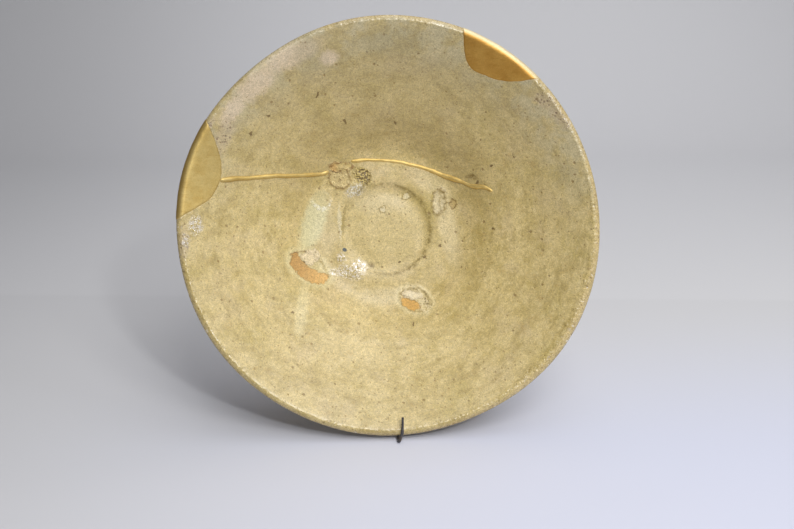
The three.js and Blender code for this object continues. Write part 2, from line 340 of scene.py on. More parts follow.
def work_over(bowl):
    """Warps the spun bowl and gives both its sides their relief."""
    places = places_of(bowl)
    side = inside_share(places)
    radius = np.hypot(places[:, 0], places[:, 1])
    places = warp(places)
    near = (1 - smoothstep(radius, SUNK + 2, WELL)) * side
    places[:, 0] += SUNK_AT[0] * near
    places[:, 1] += SUNK_AT[1] * near
    within = smoothstep(side, 0.55, 0.98)
    places[:, 2] += within * (scar_relief(places) + thrown_relief(places))
    places[:, 2] += (1 - within) * lumps(places, 9, 6) * 0.12
    set_places(bowl, places)
    attribute = bowl.data.attributes.new("inside", "FLOAT", "POINT")
    attribute.data.foreach_set("value", side)


def break_block(name, edge, grow):
    """A block over a broken-out place, its break edge moved by `grow` into the bowl."""
    angle = np.radians([a for _, a in edge])
    radius = np.array([r for r, _ in edge])
    steps = np.linspace(0, len(edge) - 1, 60)
    x = through(list(enumerate(radius * np.cos(angle))), steps)
    y = through(list(enumerate(radius * np.sin(angle))), steps)
    run = np.stack([np.gradient(x), np.gradient(y)], 1)
    run /= np.linalg.norm(run, axis=1)[:, None]
    ragged = lumps(np.stack([x, y, 0 * x], 1), 3.0, 8) * 0.22
    x = x - run[:, 1] * (grow + ragged)
    y = y + run[:, 0] * (grow + ragged)
    count = len(x)
    outline = [(px, py, -20) for px, py in zip(x, y)]
    block = new_piece(name, outline, faces=[tuple(range(count))])
    lift = {"value": (0, 0, 90)}
    in_edit_mode(
        block,
        lambda: bpy.ops.mesh.extrude_region_move(TRANSFORM_OT_translate=lift),
        lambda: bpy.ops.mesh.select_all(action="SELECT"),
        lambda: bpy.ops.mesh.quads_convert_to_tris(),
        lambda: bpy.ops.mesh.normals_make_consistent(inside=False),
    )
    return block


def cut(obj, block, operation):
    """Cuts an object with a block."""
    apply_modifier(obj, "BOOLEAN", operation=operation, object=block, solver="EXACT")


def gold_fill(whole, name, edge):
    """The made-up piece of the rim: a cast of the missing piece, rounded and worked by hand."""
    fill = copy_of(whole, name)
    block = break_block("fill_block", edge, FILL_LAP)
    cut(fill, block, "INTERSECT")
    bpy.data.objects.remove(block)
    apply_modifier(fill, "REMESH", mode="VOXEL", voxel_size=FILL_VOXEL, use_smooth_shade=True)
    apply_modifier(fill, "SMOOTH", factor=0.5, iterations=6)
    places = places_of(fill)
    outwards = np.empty(len(places) * 3)
    fill.data.vertices.foreach_get("normal", outwards)
    swell = 0.2 + lumps(places, 5.0, 9) * 0.08 + lumps(places, 1.8, 10) * 0.03
    set_places(fill, places + outwards.reshape(-1, 3) * swell[:, None])
    return fill


def seam_line(route):
    """Evenly spaced points along a seam, a little below the bowl's inside."""
    x = through(list(enumerate(p[0] for p in route)), np.linspace(0, len(route) - 1, 400))
    y = through(list(enumerate(p[1] for p in route)), np.linspace(0, len(route) - 1, 400))
    run = np.concatenate([[0], np.cumsum(np.hypot(np.diff(x), np.diff(y)))])
    at = np.linspace(0, run[-1], int(run[-1] / SEAM_STEP))
    x, y = np.interp(at, run, x), np.interp(at, run, y)
    y = y + lumps(np.stack([at, 0 * at, 0 * at], 1), 4.0, 11) * 0.22
    radius = np.hypot(x, y)
    return warp(np.stack([x, y, through(INSIDE, radius) - SEAM_SUNK], 1))


def gold_seam(name, route, swell):
    """A raised line of lacquer and gold: drawn by hand, so its width wanders."""
    line = seam_line(route)
    curve = bpy.data.curves.new(name, "CURVE")
    curve.dimensions = "3D"
    curve.bevel_depth = SEAM_RADIUS
    curve.bevel_resolution = 5
    curve.use_fill_caps = True
    spline = curve.splines.new("POLY")
    spline.points.add(len(line) - 1)
    spline.points.foreach_set("co", np.column_stack([line, np.ones(len(line))]).ravel())
    along = np.arange(len(line)) * SEAM_STEP
    wander = through(swell, along / along[-1])
    wander += lumps(np.stack([along, 0 * along, 0 * along], 1), 2.4, 12) * 0.2
    taper = np.minimum(1, np.minimum(along, along[::-1]) / SEAM_TAPER + 0.25)
    spline.points.foreach_set("radius", wander * taper)
    seam = bpy.data.objects.new(name, curve)
    bpy.context.scene.collection.objects.link(seam)
    select_only(seam)
    bpy.ops.object.convert(target="MESH")
    return bpy.context.object


def part_materials(bowl):
    """Wall, upper half of the well, outside, lower half of the well: each its own material."""
    side = np.empty(len(bowl.data.vertices))
    bowl.data.attributes["inside"].data.foreach_get("value", side)
    for face in bowl.data.polygons:
        within = sum(side[v] for v in face.vertices) / len(face.vertices)
        if within < OUTSIDE_SHARE:
            face.material_index = 2
        elif math.hypot(*face.center[:2]) > RIDGE:
            face.material_index = 0
        else:
            face.material_index = 1 if face.center.y > WELL_SPLIT else 3


def set_in_place(piece):
    """From the bowl's own frame, in millimetres, to its place on the stand, in metres."""
    piece.data.transform(BOWL_PLACE)
    piece.data.update()
    smooth_shade(piece)


# The bowl is leaned, and set where the frame has it: its lowest point and its front on the stand.
whole = spun_bowl()
work_over(whole)
lean = Matrix.Rotation(math.radians(90 - LEAN), 4, "X") @ Matrix.Scale(MM, 4)
leaned = places_of(whole) @ np.array(lean.to_3x3()).T
bowl_low = [min(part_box(n)[0][i] for n in ("bowl", "gold_fill_left")) for i in range(3)]
BOWL_PLACE = Matrix.Translation(Vector(bowl_low) - Vector(leaned.min(axis=0))) @ lean

fill_left = gold_fill(whole, "gold_rim_left", LEFT_BREAK)
fill_right = gold_fill(whole, "gold_rim_right", RIGHT_BREAK)
for edge in (LEFT_BREAK, RIGHT_BREAK):
    block = break_block("break_block", edge, 0)
    cut(whole, block, "DIFFERENCE")
    bpy.data.objects.remove(block)
seam_left = gold_seam("gold_line_left", LEFT_SEAM, LEFT_SWELL)
seam_right = gold_seam("gold_line_right", RIGHT_SEAM, RIGHT_SWELL)
part_materials(whole)
for piece in (whole, fill_left, fill_right, seam_left, seam_right):
    set_in_place(piece)

# ---- The stand ----------------------------------------------------------------------------


def on_stand(x, y, z):
    """A point of the bowl's own frame, where it comes on the stand, in millimetres."""
    return (BOWL_PLACE @ Vector((x, y, z))) / MM


def bent_line(corners):
    """Points along a wire through corners, each rounded with its own bend: (corner, bend)."""
    points = [Vector(corners[0][0])]
    for before, (corner, bend), after in zip(corners, corners[1:], corners[2:]):
        corner = Vector(corner)
        start = corner + (Vector(before[0]) - corner).normalized() * bend
        end = corner + (Vector(after[0]) - corner).normalized() * bend
        for step in range(13):
            u = step / 12
            points.append(start * (1 - u) ** 2 + corner * 2 * u * (1 - u) + end * u * u)
    points.append(Vector(corners[-1][0]))
    return points


def wire(name, points, thickness=lambda share: WIRE):
    """Drawn round wire along a line of points, with a thickness for each share of its way."""
    spaced = [points[0]]
    for start, end in zip(points, points[1:]):
        steps = max(1, round((end - start).length / 1.2))
        spaced += [start.lerp(end, (i + 1) / steps) for i in range(steps)]
    curve = bpy.data.curves.new(name, "CURVE")
    curve.dimensions = "3D"
    curve.bevel_depth = MM / 2
    curve.bevel_resolution = 6
    curve.use_fill_caps = True
    spline = curve.splines.new("POLY")
    spline.points.add(len(spaced) - 1)
    for i, (point, place) in enumerate(zip(spline.points, spaced)):
        point.co = (*(place * MM), 1)
        point.radius = thickness(i / (len(spaced) - 1))
    piece = bpy.data.objects.new(name, curve)
    bpy.context.scene.collection.objects.link(piece)
    select_only(piece)
    bpy.ops.object.convert(target="MESH")
    piece = bpy.context.object
    round_ends(piece)
    return piece


def round_ends(piece):
    """Rounds off the cut ends of a wire."""
    apply_modifier(
        piece, "BEVEL", width=0.3 * MM, segments=2, limit_method="ANGLE",
        angle_limit=math.radians(60),
    )
    smooth_shade(piece)


def weld(piece, place, size):
    """A bead of weld where two wires cross, joined to the piece."""
    bpy.ops.object.select_all(action="DESELECT")
    bpy.ops.mesh.primitive_ico_sphere_add(subdivisions=3, radius=1)
    bead = bpy.context.object
    shape = Matrix.Translation(place * MM) @ Matrix.Diagonal((*(Vector(size) * MM), 1))
    bead.data.transform(shape)
    smooth_shade(bead)
    select_only(piece)
    bead.select_set(True)
    bpy.ops.object.join()


def cross_bar(name, middle, reach, half):
    """A bar across the stand from end to end; half of it as shares of its reach, up and back."""
    away = [Vector((-s * reach, back, up)) for s, up, back in half]
    back_in = [Vector((s * reach, back, up)) for s, up, back in reversed(half)]
    x, y, z = zip(*[middle + p for p in away + back_in])
    steps = np.linspace(0, len(x) - 1, 90)
    line = [through(list(enumerate(row)), steps) for row in (x, y, z)]
    return wire(name, [Vector(p) for p in zip(*line)])


floor_line = WIRE / 2
lip_middle = on_stand(HOOK_FROM_MIDDLE, LIP - MOUTH, HEIGHT - LIP)
slope = math.tan(math.radians(LEAN))
lip_to_hook = (LIP + 2 * GAP + WIRE / 2) / math.cos(math.radians(LEAN))
hook_line = lip_middle.y - lip_to_hook - (lip_middle.z - floor_line) * slope
front = Vector((lip_middle.x, hook_line, floor_line))
rear = front + Vector((0, REACH, 0))
rest_place = on_stand(HOOK_FROM_MIDDLE, REST_HEIGHT, -GAP - WIRE / 2)
spine_place = on_stand(HOOK_FROM_MIDDLE, REST_HEIGHT, -2 * GAP - 1.5 * WIRE)
leg_place = front + Vector((0, LEG_PLACE, 0))
spine_top = spine_place + (spine_place - rear).normalized() * 1.5 * WIRE
hook_bend = front + Vector((HOOK_LEAN * 0.9, HOOK_BEND * slope, HOOK_BEND))
hook_tip = front + Vector((HOOK_LEAN, HOOK_RISE * slope, WIRE + HOOK_RISE))

spine = wire(
    "stand_spine_wire",
    bent_line([(spine_top, 0), (rear, 7), (front, 1.6), (hook_bend, 1.5), (hook_tip, 0)]),
    lambda share: WIRE + (HOOK_TIP - WIRE) * smoothstep(share, 0.962, 0.985),
)
cross_leg = cross_bar(
    "stand_cross_wire", leg_place, LEG_SPREAD,
    [(1, 0, 0), (0.8, WIRE / 2, 0), (0.4, WIRE + GAP, 0)],
)
back_rest = cross_bar(
    "stand_rest_wire", rest_place, REST_SPREAD,
    [(1, 0, 1.5 * WIRE), (0.8, 0, WIRE / 4), (0.4, 0, 0)],
)
weld(cross_leg, leg_place + Vector((0, 0, (WIRE + GAP) / 2)), (1.1, 1.5, 0.8))
weld(back_rest, (rest_place + spine_place) / 2, (1.5, 0.8, 1.1))

# ---- Materials ----------------------------------------------------------------------------


def tone(red, green, blue):
    """A colour given as it looks, 0 to 255, as the shader takes it."""
    shares = [c / 255 for c in (red, green, blue)]
    return (*[s / 12.92 if s <= 0.04045 else ((s + 0.055) / 1.055) ** 2.4 for s in shares], 1)


class Nodes:
    """Puts nodes into a tree. An input is a number, a colour, a vector or another's output."""

    def __init__(self, tree):
        self.tree = tree

    def put(self, kind, inputs=None, **settings):
        node = self.tree.nodes.new("ShaderNode" + kind)
        for key, value in settings.items():
            setattr(node, key, value)
        for key, value in (inputs or {}).items():
            if isinstance(value, bpy.types.NodeSocket):
                self.tree.links.new(value, node.inputs[key])
            else:
                node.inputs[key].default_value = value
        return node

    def math(self, operation, first, second=0.0, third=0.0):
        inputs = {0: first, 1: second, 2: third}
        return self.put("Math", inputs, operation=operation).outputs[0]

    def add(self, first, *others):
        for other in others:
            first = self.math("ADD", first, other)
        return first

    def times(self, first, *others):
        for other in others:
            first = self.math("MULTIPLY", first, other)
        return first

    def most(self, first, *others):
        for other in others:
            first = self.math("MAXIMUM", first, other)
        return first

    def ramp(self, value, low, high, to_low=0.0, to_high=1.0):
        """Goes smoothly from one value to the other while the input goes from low to high."""
        inputs = {"Value": value, 1: low, 2: high, 3: to_low, 4: to_high}
        return self.put("MapRange", inputs, interpolation_type="SMOOTHSTEP").outputs[0]

    def band(self, value, middle, half, soft):
        """1 in a band round a value, and 0 outside it."""
        off = self.math("ABSOLUTE", self.math("SUBTRACT", value, middle))
        return self.ramp(off, half - soft, half + soft, 1.0, 0.0)

    def noise(self, place, size, detail=2.0, rough=0.5, warped=0.0):
        inputs = {
            "Vector": place, "Scale": 1 / size, "Detail": detail, "Roughness": rough,
            "Distortion": warped,
        }
        return self.put("TexNoise", inputs).outputs["Fac"]

    def mix(self, share, under, over):
        inputs = {"Factor": share, "A": under, "B": over}
        node = self.put("Mix", data_type="RGBA")
        sockets = {"Factor": node.inputs[0], "A": node.inputs[6], "B": node.inputs[7]}
        for key, value in inputs.items():
            if isinstance(value, bpy.types.NodeSocket):
                self.tree.links.new(value, sockets[key])
            else:
                sockets[key].default_value = value
        return node.outputs[2]

    def shade(self, colour, amount):
        """A colour made lighter or darker by a factor."""
        vector = self.put("VectorMath", {0: colour, "Scale": amount}, operation="SCALE")
        return vector.outputs[0]

    def group(self, tree, **inputs):
        node = self.put("Group", node_tree=tree)
        for key, value in inputs.items():
            socket = node.inputs[key.replace("_", " ").capitalize()]
            if isinstance(value, bpy.types.NodeSocket):
                self.tree.links.new(value, socket)
            else:
                socket.default_value = value
        return node.outputs


def new_group(name, inputs, outputs):
    """An empty node group: its helper, its inputs and its outputs node."""
    tree = bpy.data.node_groups.new(name, "ShaderNodeTree")
    for label, kind, value in inputs:
        socket = tree.interface.new_socket(label, in_out="INPUT", socket_type="NodeSocket" + kind)
        if value is not None:
            socket.default_value = value
    for label, kind in outputs:
        tree.interface.new_socket(label, in_out="OUTPUT", socket_type="NodeSocket" + kind)
    nodes = Nodes(tree)
    return nodes, nodes.tree.nodes.new("NodeGroupInput").outputs, nodes.tree.nodes.new(
        "NodeGroupOutput"
    )


def place_group():
    """Place on the bowl, in millimetres in its own frame, and distance from its axis.

    Wheel is a place for noise that is drawn out round the bowl, as the wheel turned it.
    """
    nodes, _, out = new_group(
        "bowl_place", [], [("Place", "Vector"), ("Radius", "Float"), ("Wheel", "Vector")]
    )
    where = nodes.put("TexCoord").outputs["Object"]
    settings = {
        "Vector": where, "Location": BOWL_PLACE.translation,
        "Rotation": (math.radians(90 - LEAN), 0, 0), "Scale": (MM, MM, MM),
    }
    place = nodes.put("Mapping", settings, vector_type="TEXTURE").outputs[0]
    flat = nodes.put("VectorMath", {0: place, 1: (1, 1, 0)}, operation="MULTIPLY").outputs[0]
    radius = nodes.put("VectorMath", {0: flat}, operation="LENGTH").outputs["Value"]
    outwards = nodes.put("VectorMath", {0: flat}, operation="NORMALIZE").outputs[0]
    round_about = nodes.put("VectorMath", {0: outwards, "Scale": 5.0}, operation="SCALE").outputs[0]
    level = nodes.put("CombineXYZ", {"Z": nodes.times(radius, 0.3)}).outputs[0]
    wheel = nodes.put("VectorMath", {0: round_about, 1: level}, operation="ADD").outputs[0]
    nodes.tree.links.new(place, out.inputs["Place"])
    nodes.tree.links.new(radius, out.inputs["Radius"])
    nodes.tree.links.new(wheel, out.inputs["Wheel"])
    return nodes.tree


def spot_group():
    """How far out of an oval spot a place lies: 0 at its middle, 1 at its edge."""
    nodes, given, out = new_group(
        "spot",
        [("Place", "Vector", None), ("At", "Vector", None), ("Size", "Vector", None),
         ("Turn", "Vector", None)],
        [("Reach", "Float")],
    )
    flat = nodes.put("VectorMath", {0: given["Place"], 1: (1, 1, 0)}, operation="MULTIPLY")
    settings = {
        "Vector": flat.outputs[0], "Location": given["At"], "Rotation": given["Turn"],
        "Scale": given["Size"],
    }
    local = nodes.put("Mapping", settings, vector_type="TEXTURE").outputs[0]
    reach = nodes.put("VectorMath", {0: local}, operation="LENGTH").outputs["Value"]
    nodes.tree.links.new(reach, out.inputs["Reach"])
    return nodes.tree


def speck_group():
    """Scattered specks: their spacing and size in millimetres, and the share of places taken."""
    nodes, given, out = new_group(
        "specks",
        [("Place", "Vector", None), ("Spacing", "Float", 4.0), ("Size", "Float", 0.5),
         ("Share", "Float", 0.5)],
        [("Mask", "Float")],
    )
    bent = nodes.noise(given["Place"], 0.8, 1)
    shift = nodes.put("VectorMath", {0: (0.9, -0.7, 0.5), "Scale": bent}, operation="SCALE")
    place = nodes.put(
        "VectorMath", {0: given["Place"], 1: shift.outputs[0]}, operation="ADD"
    ).outputs[0]
    scale = nodes.math("DIVIDE", 1.0, given["Spacing"])
    cells = nodes.put("TexVoronoi", {"Vector": place, "Scale": scale}).outputs
    chance = nodes.put("SeparateColor", {0: cells["Color"]}).outputs
    size = nodes.times(given["Size"], nodes.add(0.4, nodes.times(chance[0], 0.6)))
    away = nodes.times(cells["Distance"], given["Spacing"])
    dot = nodes.ramp(nodes.math("DIVIDE", away, size), 0.6, 1.1, 1.0, 0.0)
    taken = nodes.math("LESS_THAN", chance[1], given["Share"])
    nodes.tree.links.new(nodes.times(dot, taken), out.inputs["Mask"])
    return nodes.tree


BOWL_AT = place_group()
SPOT = spot_group()
SPECKS = speck_group()


def new_material(name):
    """A new material, its nodes and its shader."""
    material = bpy.data.materials.new(name)
    material.use_nodes = True
    tree = material.node_tree
    shader = next(n for n in tree.nodes if n.type == "BSDF_PRINCIPLED")
    return material, Nodes(tree), shader


def bump(nodes, shader, height):
    """Relief from a height in millimetres."""
    normal = nodes.put("Bump", {"Height": height, "Distance": MM, "Strength": 1.0})
    nodes.tree.links.new(normal.outputs[0], shader.inputs["Normal"])


def spot(nodes, place, at, size, turn=0.0, ragged=0.0):
    """Reach from an oval spot's middle, with a ragged noise added to it."""
    reach = nodes.group(
        SPOT, place=place, at=(*at, 0), size=(size[0] / 2, size[1] / 2, 1),
        turn=(0, 0, math.radians(turn)),
    )["Reach"]
    return nodes.add(reach, ragged)


def ragged_place(nodes, place, size, amount):
    """A place pushed about by noise, so that what is marked out on it has a ragged edge."""
    settings = {"Vector": place, "Scale": 1 / size, "Detail": 3.0, "Roughness": 0.65}
    push = nodes.put("TexNoise", settings).outputs["Color"]
    centred = nodes.put("VectorMath", {0: push, 1: (0.5, 0.5, 0.5)}, operation="SUBTRACT")
    pushed = nodes.put("VectorMath", {0: centred.outputs[0], "Scale": amount}, operation="SCALE")
    return nodes.put("VectorMath", {0: place, 1: pushed.outputs[0]}, operation="ADD").outputs[0]


def mottled(nodes, at):
    """The glaze's own colour: buff, with olive, tan and greyish clouds drawn out by the wheel."""
    place = at["Place"]
    cloud = nodes.noise(place, 8, 3, 0.6)
    colour = nodes.mix(nodes.ramp(cloud, 0.32, 0.66), tone(186, 165, 104), tone(206, 185, 127))
    tint = nodes.noise(place, 15, 3, 0.6)
    colour = nodes.mix(nodes.ramp(tint, 0.53, 0.68, 0, 0.4), colour, tone(194, 174, 132))
    colour = nodes.mix(nodes.ramp(tint, 0.47, 0.32, 0, 0.5), colour, tone(178, 158, 88))
    smear = nodes.noise(at["Wheel"], 1.0, 3, 0.65)
    worn = nodes.ramp(at["Radius"], 30, 50, 0.25, 1.0)
    dark = nodes.times(nodes.ramp(smear, 0.52, 0.68, 0, 0.5), worn)
    colour = nodes.mix(dark, colour, tone(160, 139, 78))
    light = nodes.times(nodes.ramp(smear, 0.46, 0.34, 0, 0.45), worn)
    colour = nodes.mix(light, colour, tone(208, 188, 134))
    blotch = nodes.noise(place, 4.6, 4, 0.7)
    colour = nodes.mix(nodes.ramp(blotch, 0.56, 0.7, 0, 0.45), colour, tone(166, 138, 76))
    curd = nodes.noise(place, 1.9, 3, 0.75)
    colour = nodes.mix(nodes.ramp(curd, 0.52, 0.68, 0, 0.35), colour, tone(160, 140, 78))
    return nodes.mix(nodes.ramp(curd, 0.47, 0.33, 0, 0.35), colour, tone(220, 202, 150))


def ash_glaze(name, marks):
    """Ash glaze over buff clay, with the marks of one part of the inside in it."""
    material, nodes, shader = new_material(name)
    at = nodes.group(BOWL_AT)
    place, radius = at["Place"], at["Radius"]
    parts = nodes.put("SeparateXYZ", {0: place}).outputs
    across, up = parts["X"], parts["Y"]
    colour = mottled(nodes, at)
    # Darker towards the top: partly the duller glaze there, partly painted shade of the upper wall,
    # which faces down.
    top_dulling_and_shade = nodes.times(nodes.ramp(up, -10, 70, 0, 0.45), nodes.ramp(radius, 28, 48))
    colour = nodes.mix(top_dulling_and_shade, colour, tone(158, 141, 98))
    # Painted shade: a darker olive band on the steep wall above the well, strongest towards the top.
    low_wall_shade = nodes.times(nodes.band(radius, 43, 8, 5), nodes.ramp(up, -4, 34, 0, 0.3))
    colour = nodes.mix(low_wall_shade, colour, tone(160, 138, 78))

    grain = nodes.noise(place, 1.15, 3, 0.75)
    wander = nodes.times(nodes.math("SUBTRACT", nodes.noise(place, 3.2, 4, 0.65), 0.5), 0.9)
    field = {
        "place": place, "rag": ragged_place(nodes, place, 2.4, 3.6), "radius": radius,
        "across": across, "up": up, "grain": grain, "wander": wander,
    }
    colour, height, bare, broken = marks(nodes, field, colour)

    fine = nodes.group(SPECKS, place=place, spacing=1.35, size=0.4, share=0.5)["Mask"]
    middling = nodes.group(SPECKS, place=place, spacing=3.8, size=0.75, share=0.45)["Mask"]
    colour = nodes.mix(nodes.times(fine, 0.6), colour, tone(132, 106, 50))
    colour = nodes.mix(nodes.times(middling, 0.6), colour, tone(122, 94, 42))
    grit = nodes.noise(place, 0.45, 1, 0.5)
    shaded = nodes.shade(colour, nodes.times(
        nodes.ramp(grain, 0.28, 0.72, 0.86, 1.12), nodes.ramp(grit, 0.25, 0.75, 0.82, 1.17),
        nodes.ramp(radius, 50, 76, 1.0, 0.94),
    ))
    nodes.tree.links.new(shaded, shader.inputs["Base Color"])
    shader.inputs["IOR"].default_value = 1.6
    satin = nodes.add(0.42, nodes.times(grain, 0.12), nodes.times(bare, 0.3))
    rough = nodes.math("SUBTRACT", satin, nodes.times(broken, 0.38))
    nodes.tree.links.new(rough, shader.inputs["Roughness"])
    foam = nodes.put("TexVoronoi", {"Vector": field["rag"], "Scale": 0.5}).outputs["Distance"]
    froth = nodes.put("TexVoronoi", {"Vector": place, "Scale": 1.1}).outputs["Distance"]
    blown = nodes.add(nodes.ramp(foam, 0.62, 0.0, 0, 0.24), nodes.ramp(froth, 0.6, 0.0, 0, 0.06))
    height = nodes.add(
        height, nodes.times(nodes.noise(place, 1.2, 2, 0.6), 0.05),
        nodes.times(nodes.noise(place, 3.6, 2, 0.5), 0.06), nodes.times(middling, -0.12),
        nodes.times(fine, -0.05), nodes.times(broken, blown),
    )
    bump(nodes, shader, height)
    return material


def patch(nodes, field, at, size, turn=0.0, soft=0.15):
    """A ragged oval patch: 1 well inside it, 0 outside."""
    return nodes.ramp(spot(nodes, field["rag"], at, size, turn), 1 + soft, 1 - soft)


def outline(nodes, field, at, size, turn=0.0, half=0.06):
    """The ragged outline of such a patch, which comes and goes."""
    reach = spot(nodes, field["rag"], at, size, turn)
    return nodes.times(nodes.band(reach, 1.0, half, half + 0.02), broken_line(nodes, field))


def patches(nodes, field, rows, soft=0.15):
    """One mask over a row of ragged patches: (place, size, turn)."""
    return nodes.most(*[patch(nodes, field, *row, soft) for row in rows])


def crumbled(nodes, field):
    """Fine crumbs, from 0 to 1."""
    return nodes.ramp(nodes.noise(field["place"], 0.9, 3, 0.7), 0.42, 0.58)


def broken_line(nodes, field):
    """Lets an outline come and go."""
    return nodes.ramp(nodes.noise(field["place"], 1.7, 2, 0.6), 0.36, 0.56, 0.1, 1.0)


def iron_dots(nodes, field, colour, rows):
    """Single dark specks of iron, each with its own place."""
    dots = patches(nodes, field, rows, 0.25)
    return nodes.mix(nodes.times(dots, 0.8), colour, tone(104, 80, 36)), dots


def well_ground(nodes, field, colour):
    """The ground of the well: its sunk round, with painted shade and a painted highlight on its step,
    and the pale crescent beside it.
    """
    place, wander = field["place"], field["wander"]
    # The sunk round is paler, with ash run up beside it and an olive line round it that darkens round
    # the right as painted shade on its step.
    sunk = spot(nodes, place, SUNK_AT, (2 * SUNK, 2 * SUNK), ragged=nodes.times(wander, 0.1))
    colour = nodes.mix(nodes.ramp(sunk, 1.0, 0.7, 0, 0.3), colour, tone(212, 194, 140))
    ashy = patches(nodes, field, [
        ((-5, 11), (24, 10), -8), ((27, -2), (8, 34), 12), ((20, 19), (18, 7), -38),
        ((-25, 0), (8, 24), 2), ((2, -30), (30, 8), 4),
    ], 0.5)
    colour = nodes.mix(nodes.times(ashy, 0.4), colour, tone(210, 194, 152))
    # Painted shade: the line is strongest round the right of the sunk round, where its step faces
    # away from the light.
    step_shade_share = nodes.ramp(
        nodes.add(field["across"], nodes.times(wander, 24)), -16, 10, 0.2, 0.95
    )
    line = nodes.times(nodes.band(sunk, 1.0, 0.035, 0.05), step_shade_share, broken_line(nodes, field))
    colour = nodes.mix(line, colour, tone(132, 113, 54))
    # A pale crescent beside it.
    pale = patch(nodes, field, (-30.8, 2.2), (25, 9.4), 73, 0.3)
    colour = nodes.mix(nodes.times(pale, 0.75), colour, tone(209, 203, 158))
    notch = spot(nodes, field["rag"], (-27.2, 12.0), (6.4, 6.6))
    colour = nodes.mix(nodes.ramp(notch, 1.15, 0.85, 0, 0.7), colour, tone(196, 180, 126))
    teeth = nodes.times(nodes.band(notch, 1.25, 0.2, 0.15), nodes.ramp(field["up"], 12.5, 9.5))
    colour = nodes.mix(nodes.times(teeth, crumbled(nodes, field), 0.9), colour, tone(228, 222, 198))
    # A painted highlight along the left step of the sunk round.
    step_highlight = patch(nodes, field, (-19.8, 2.0), (15, 1.5), 92, 0.4)
    colour = nodes.mix(nodes.times(step_highlight, 0.5), colour, tone(220, 210, 176))
    olive = patch(nodes, field, (-17.9, 3.0), (14, 1.3), 84, 0.4)
    colour = nodes.mix(nodes.times(olive, 0.6), colour, tone(142, 124, 64))
    return colour


def with_marks(nodes, field, colour, marks):
    """The well's ground with a row of marks in it: colour, height and bare clay."""
    colour = well_ground(nodes, field, colour)
    bare, height = 0.0, 0.0
    for mark in marks:
        colour, bared, raised = mark(nodes, field, colour)
        bare = nodes.most(bare, bared)
        height = nodes.add(height, raised)
    return colour, height, bare


def upper_well(nodes, field, colour):
    """Marks of the upper half of the well: two pad scars, burst bubbles, specks of iron."""
    marks = (upper_scar, outlined_scars, bubbles)
    colour, height, bare = with_marks(nodes, field, colour, marks)
    colour, dots = iron_dots(nodes, field, colour, [
        ((-17.2, 44), (1.6, 1.2), -50), ((38, 18), (1.5, 1.0), 20), ((4, 43), (1.7, 1.3), -20),
        ((43.8, 24.6), (1.8, 1.3), 30), ((44.4, -1.2), (1.6, 1.3), 0),
    ])
    smudge = patch(nodes, field, (36.2, 20.6), (4, 2), -12, 0.6)
    smudge = nodes.times(smudge, nodes.ramp(field["grain"], 0.4, 0.55, 0.3, 0.9))
    colour = nodes.mix(smudge, colour, tone(116, 94, 40))
    return colour, nodes.add(height, nodes.times(dots, -0.15)), bare, 0.0


def lower_well(nodes, field, colour):
    """Marks of the lower half: two pad scars, a run of glaze, and glaze broken into bubbles."""
    colour, height, bare = with_marks(nodes, field, colour, (lower_scar, left_scar))
    run = patch(nodes, field, (-35.8, -34), (22, 5), 83, 0.5)
    colour = nodes.mix(nodes.times(run, 0.5), colour, tone(220, 206, 156))
    colour, dots = iron_dots(nodes, field, colour, [
        ((22.8, -8.4), (1.4, 1.0), 60), ((-40, -35), (2.0, 0.9), 10), ((10.4, -41), (1.4, 0.9), 70),
        ((5.9, -15.1), (1.2, 1.0), 0), ((16.6, -13.4), (1.4, 1.0), 20),
    ])
    smudge = patch(nodes, field, (-6.6, -16.6), (3, 2.2), -30, 0.6)
    smudge = nodes.times(smudge, nodes.ramp(field["grain"], 0.4, 0.55, 0.3, 0.9))
    colour = nodes.mix(smudge, colour, tone(116, 94, 40))
    blue = nodes.ramp(spot(nodes, field["place"], (-17.8, -9.6), (2.1, 1.7), -30), 1.1, 0.75)
    colour = nodes.mix(blue, colour, tone(62, 70, 68))
    # Here the skin of the glaze is broken up into bubbles, and it glitters; its crumbs are painted
    # near white, as painted glints.
    broken = patches(nodes, field, [
        ((-11.6, -16.6), (6.4, 5.2), -40), ((-15.8, -19.2), (12, 5.6), -12),
        ((-19.2, -13.6), (4, 4.4), 0), ((-22.4, -19.2), (4, 3), 0),
    ], 0.35)
    colour = nodes.mix(nodes.times(broken, crumbled(nodes, field), 0.5), colour, tone(232, 228, 226))
    return colour, nodes.add(height, nodes.times(dots, -0.15)), bare, broken


